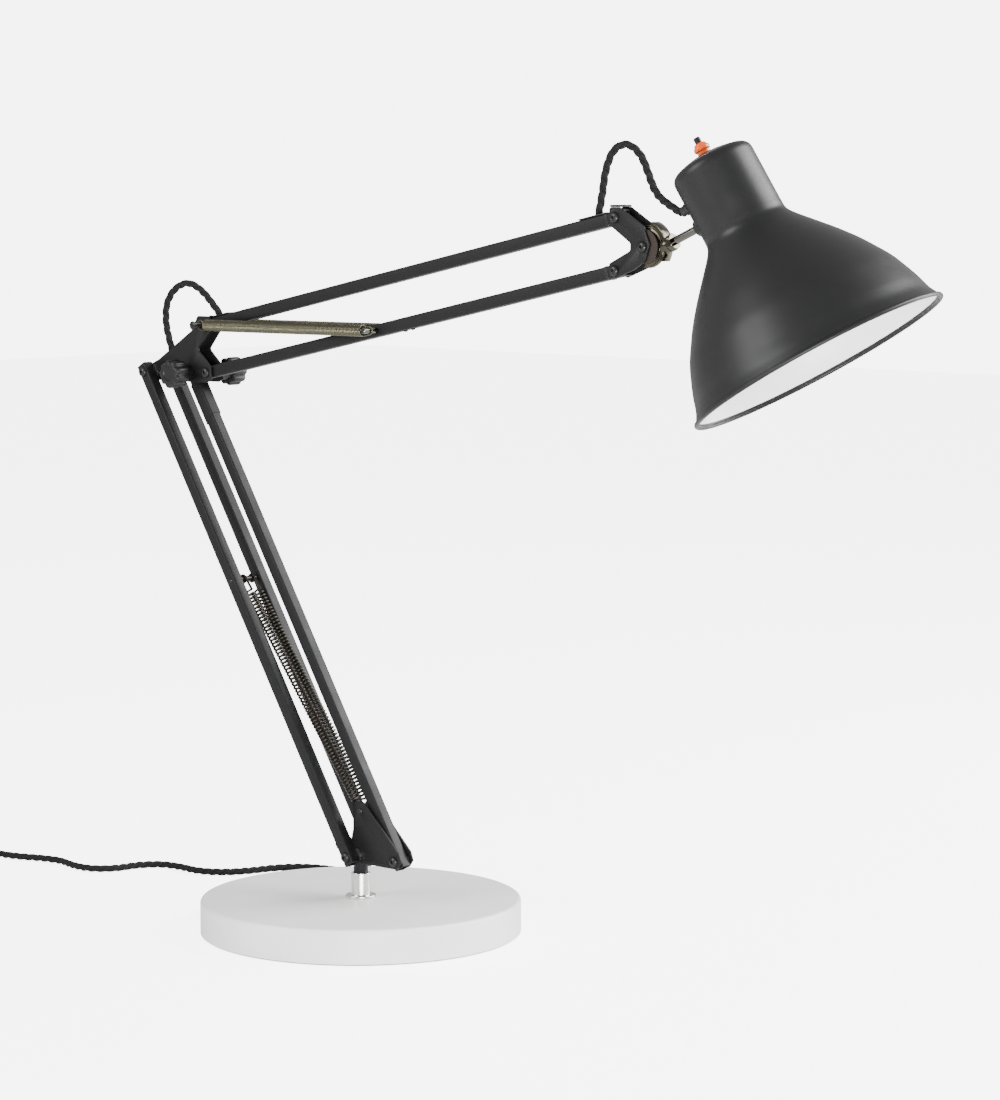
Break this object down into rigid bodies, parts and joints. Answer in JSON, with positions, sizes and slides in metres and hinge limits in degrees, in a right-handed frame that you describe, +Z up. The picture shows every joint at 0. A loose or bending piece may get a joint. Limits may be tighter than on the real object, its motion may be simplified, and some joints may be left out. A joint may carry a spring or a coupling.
{
  "type": "architect desk lamp",
  "caption": "Balanced-arm desk lamp with a round base, a spring-loaded parallel-bar arm and a bell shade on a swivel, for task lighting.",
  "frame": {"origin": "centre of the base's underside, on the surface the lamp stands on", "axes": "+X the way the arm reaches, +Y along the arm pivots to the far side, +Z up"},
  "size_m": [0.9763, 0.2541, 0.5655],
  "materials": {
    "antique_brass": "antique brass plate",
    "black_paint": "matt black powder coat",
    "black_plastic": "moulded satin plastic",
    "black_rubber": "soft rubber",
    "black_steel": "black oxide",
    "cast_weight": "raw casting",
    "felt": "dense felt",
    "fibre": "dark brown fibre washer",
    "grey_paint": "smooth satin powder coat",
    "nickel": "satin nickel plate",
    "opal_glass": "opal glass",
    "orange_plastic": "glossy orange plastic",
    "shade_enamel": "matt black outside, white inside",
    "spring_bronze": "bronzed spring wire",
    "spring_steel": "oiled spring wire",
    "textile_cord": "twisted black textile",
    "zinc": "dull zinc plate"
  },
  "bodies": {
    "base": {"base_cover": "grey_paint", "base_weight": "cast_weight", "base_felt": "felt", "stem": "nickel", "stem_nut": "zinc", "cord_outlet": "black_rubber", "mains_cord": "textile_cord", "cord_coil": "textile_cord", "plug_body": "black_plastic", "plug_pins": "nickel"},
    "foot": {"foot_post": "black_paint", "foot_plate_near": "black_paint", "foot_plate_far": "black_paint", "foot_front_bolt": "zinc", "foot_rear_bolt": "zinc", "foot_spring_pin": "nickel"},
    "front_strut": {"front_bar": "black_paint", "front_bar_sleeve": "black_paint", "front_bar_bushes": "zinc"},
    "rear_struts": {"rear_bar_near": "black_paint", "rear_bar_far": "black_paint", "rear_spring_pin": "nickel", "rear_bar_bushes": "zinc", "lower_springs": "spring_steel"},
    "elbow": {"elbow_plate_near": "black_paint", "elbow_plate_far": "black_paint", "elbow_rear_bolt": "zinc", "elbow_lower_bolt": "zinc", "elbow_upper_bolt": "zinc", "upper_spring_pin": "black_steel", "elbow_spacer": "black_plastic"},
    "lower_knob": {"lower_arm_knob": "black_plastic"},
    "upper_knob": {"upper_arm_knob": "black_plastic"},
    "lower_link": {"lower_bar": "black_paint", "lower_bar_pin": "black_steel", "lower_bar_bushes": "zinc", "upper_springs": "spring_bronze"},
    "upper_link": {"upper_bar": "black_paint", "upper_bar_bushes": "zinc", "upper_bar_clips": "black_plastic", "elbow_cord_loop": "textile_cord"},
    "head_bracket": {"head_plate_near": "black_paint", "head_plate_far": "black_paint", "head_bridge": "black_paint", "head_bolts": "zinc", "tilt_bolt": "zinc"},
    "knuckle": {"swivel_disc": "antique_brass", "friction_washers": "fibre", "rod_socket": "antique_brass", "rod": "antique_brass", "rod_nut": "antique_brass"},
    "head": {"shade": "shade_enamel", "shade_boss": "antique_brass", "lampholder": "black_plastic", "bulb_glass": "opal_glass", "bulb_cap": "nickel", "shade_gland": "black_rubber", "switch_collar": "orange_plastic", "head_cord_loop": "textile_cord"},
    "push_button": {"switch_button": "black_plastic"}
  },
  "joints": [
    {"name": "foot_swivel", "type": "hinge", "parent": "base", "child": "foot", "pos_m": [0, 0, 0.04], "axis": [0, 0, 1], "range_deg": [-170, 170]},
    {"name": "lower_arm", "type": "hinge", "parent": "foot", "child": "front_strut", "pos_m": [0.0388, 0, 0.0563], "axis": [0, 1, 0], "range_deg": [-5, 50]},
    {"name": "rear_strut_pivot", "type": "hinge", "parent": "foot", "child": "rear_struts", "pos_m": [0.0018, 0, 0.0563], "axis": [0, 1, 0], "range_deg": [-5, 50], "deforming": ["lower_springs"]},
    {"name": "elbow_level", "type": "hinge", "parent": "front_strut", "child": "elbow", "pos_m": [-0.16893, 0, 0.39462], "axis": [0, 1, 0], "range_deg": [-50, 5]},
    {"name": "upper_arm", "type": "hinge", "parent": "elbow", "child": "upper_link", "pos_m": [-0.15003, 0, 0.43072], "axis": [0, 1, 0], "range_deg": [-35, 35], "deforming": ["elbow_cord_loop"]},
    {"name": "lower_link_pivot", "type": "hinge", "parent": "elbow", "child": "lower_link", "pos_m": [-0.15003, 0, 0.39582], "axis": [0, 1, 0], "range_deg": [-35, 35], "deforming": ["upper_springs"]},
    {"name": "head_level", "type": "hinge", "parent": "upper_link", "child": "head_bracket", "pos_m": [0.24143, 0, 0.51292], "axis": [0, 1, 0], "range_deg": [-35, 35]},
    {"name": "head_tilt", "type": "hinge", "parent": "head_bracket", "child": "knuckle", "pos_m": [0.26543, 0, 0.49402], "axis": [0, 1, 0], "range_deg": [-45, 60], "deforming": ["head_cord_loop"]},
    {"name": "shade_swivel", "type": "hinge", "parent": "knuckle", "child": "head", "pos_m": [0.33756, 0, 0.51972], "axis": [0.9181, 0, 0.3963], "range_deg": [-90, 90]},
    {"name": "switch_press", "type": "slide", "parent": "head", "child": "push_button", "axis": [0.4756, 0.1635, -0.8643], "range_m": [0, 0.0025], "stiffness_N_per_m": 400},
    {"name": "lower_knob_turn", "type": "hinge", "parent": "elbow", "child": "lower_knob", "pos_m": [-0.16893, -0.0205, 0.39462], "axis": [0, 1, 0], "range_deg": [-180, 180]},
    {"name": "upper_knob_turn", "type": "hinge", "parent": "elbow", "child": "upper_knob", "pos_m": [-0.15003, 0.0205, 0.39582], "axis": [0, 1, 0], "range_deg": [-180, 180]}
  ],
  "couplings": [
    {"joint": "rear_strut_pivot", "follows": "lower_arm", "ratio": 1},
    {"joint": "elbow_level", "follows": "lower_arm", "ratio": -1},
    {"joint": "lower_link_pivot", "follows": "upper_arm", "ratio": 1},
    {"joint": "head_level", "follows": "upper_arm", "ratio": -1}
  ]
}
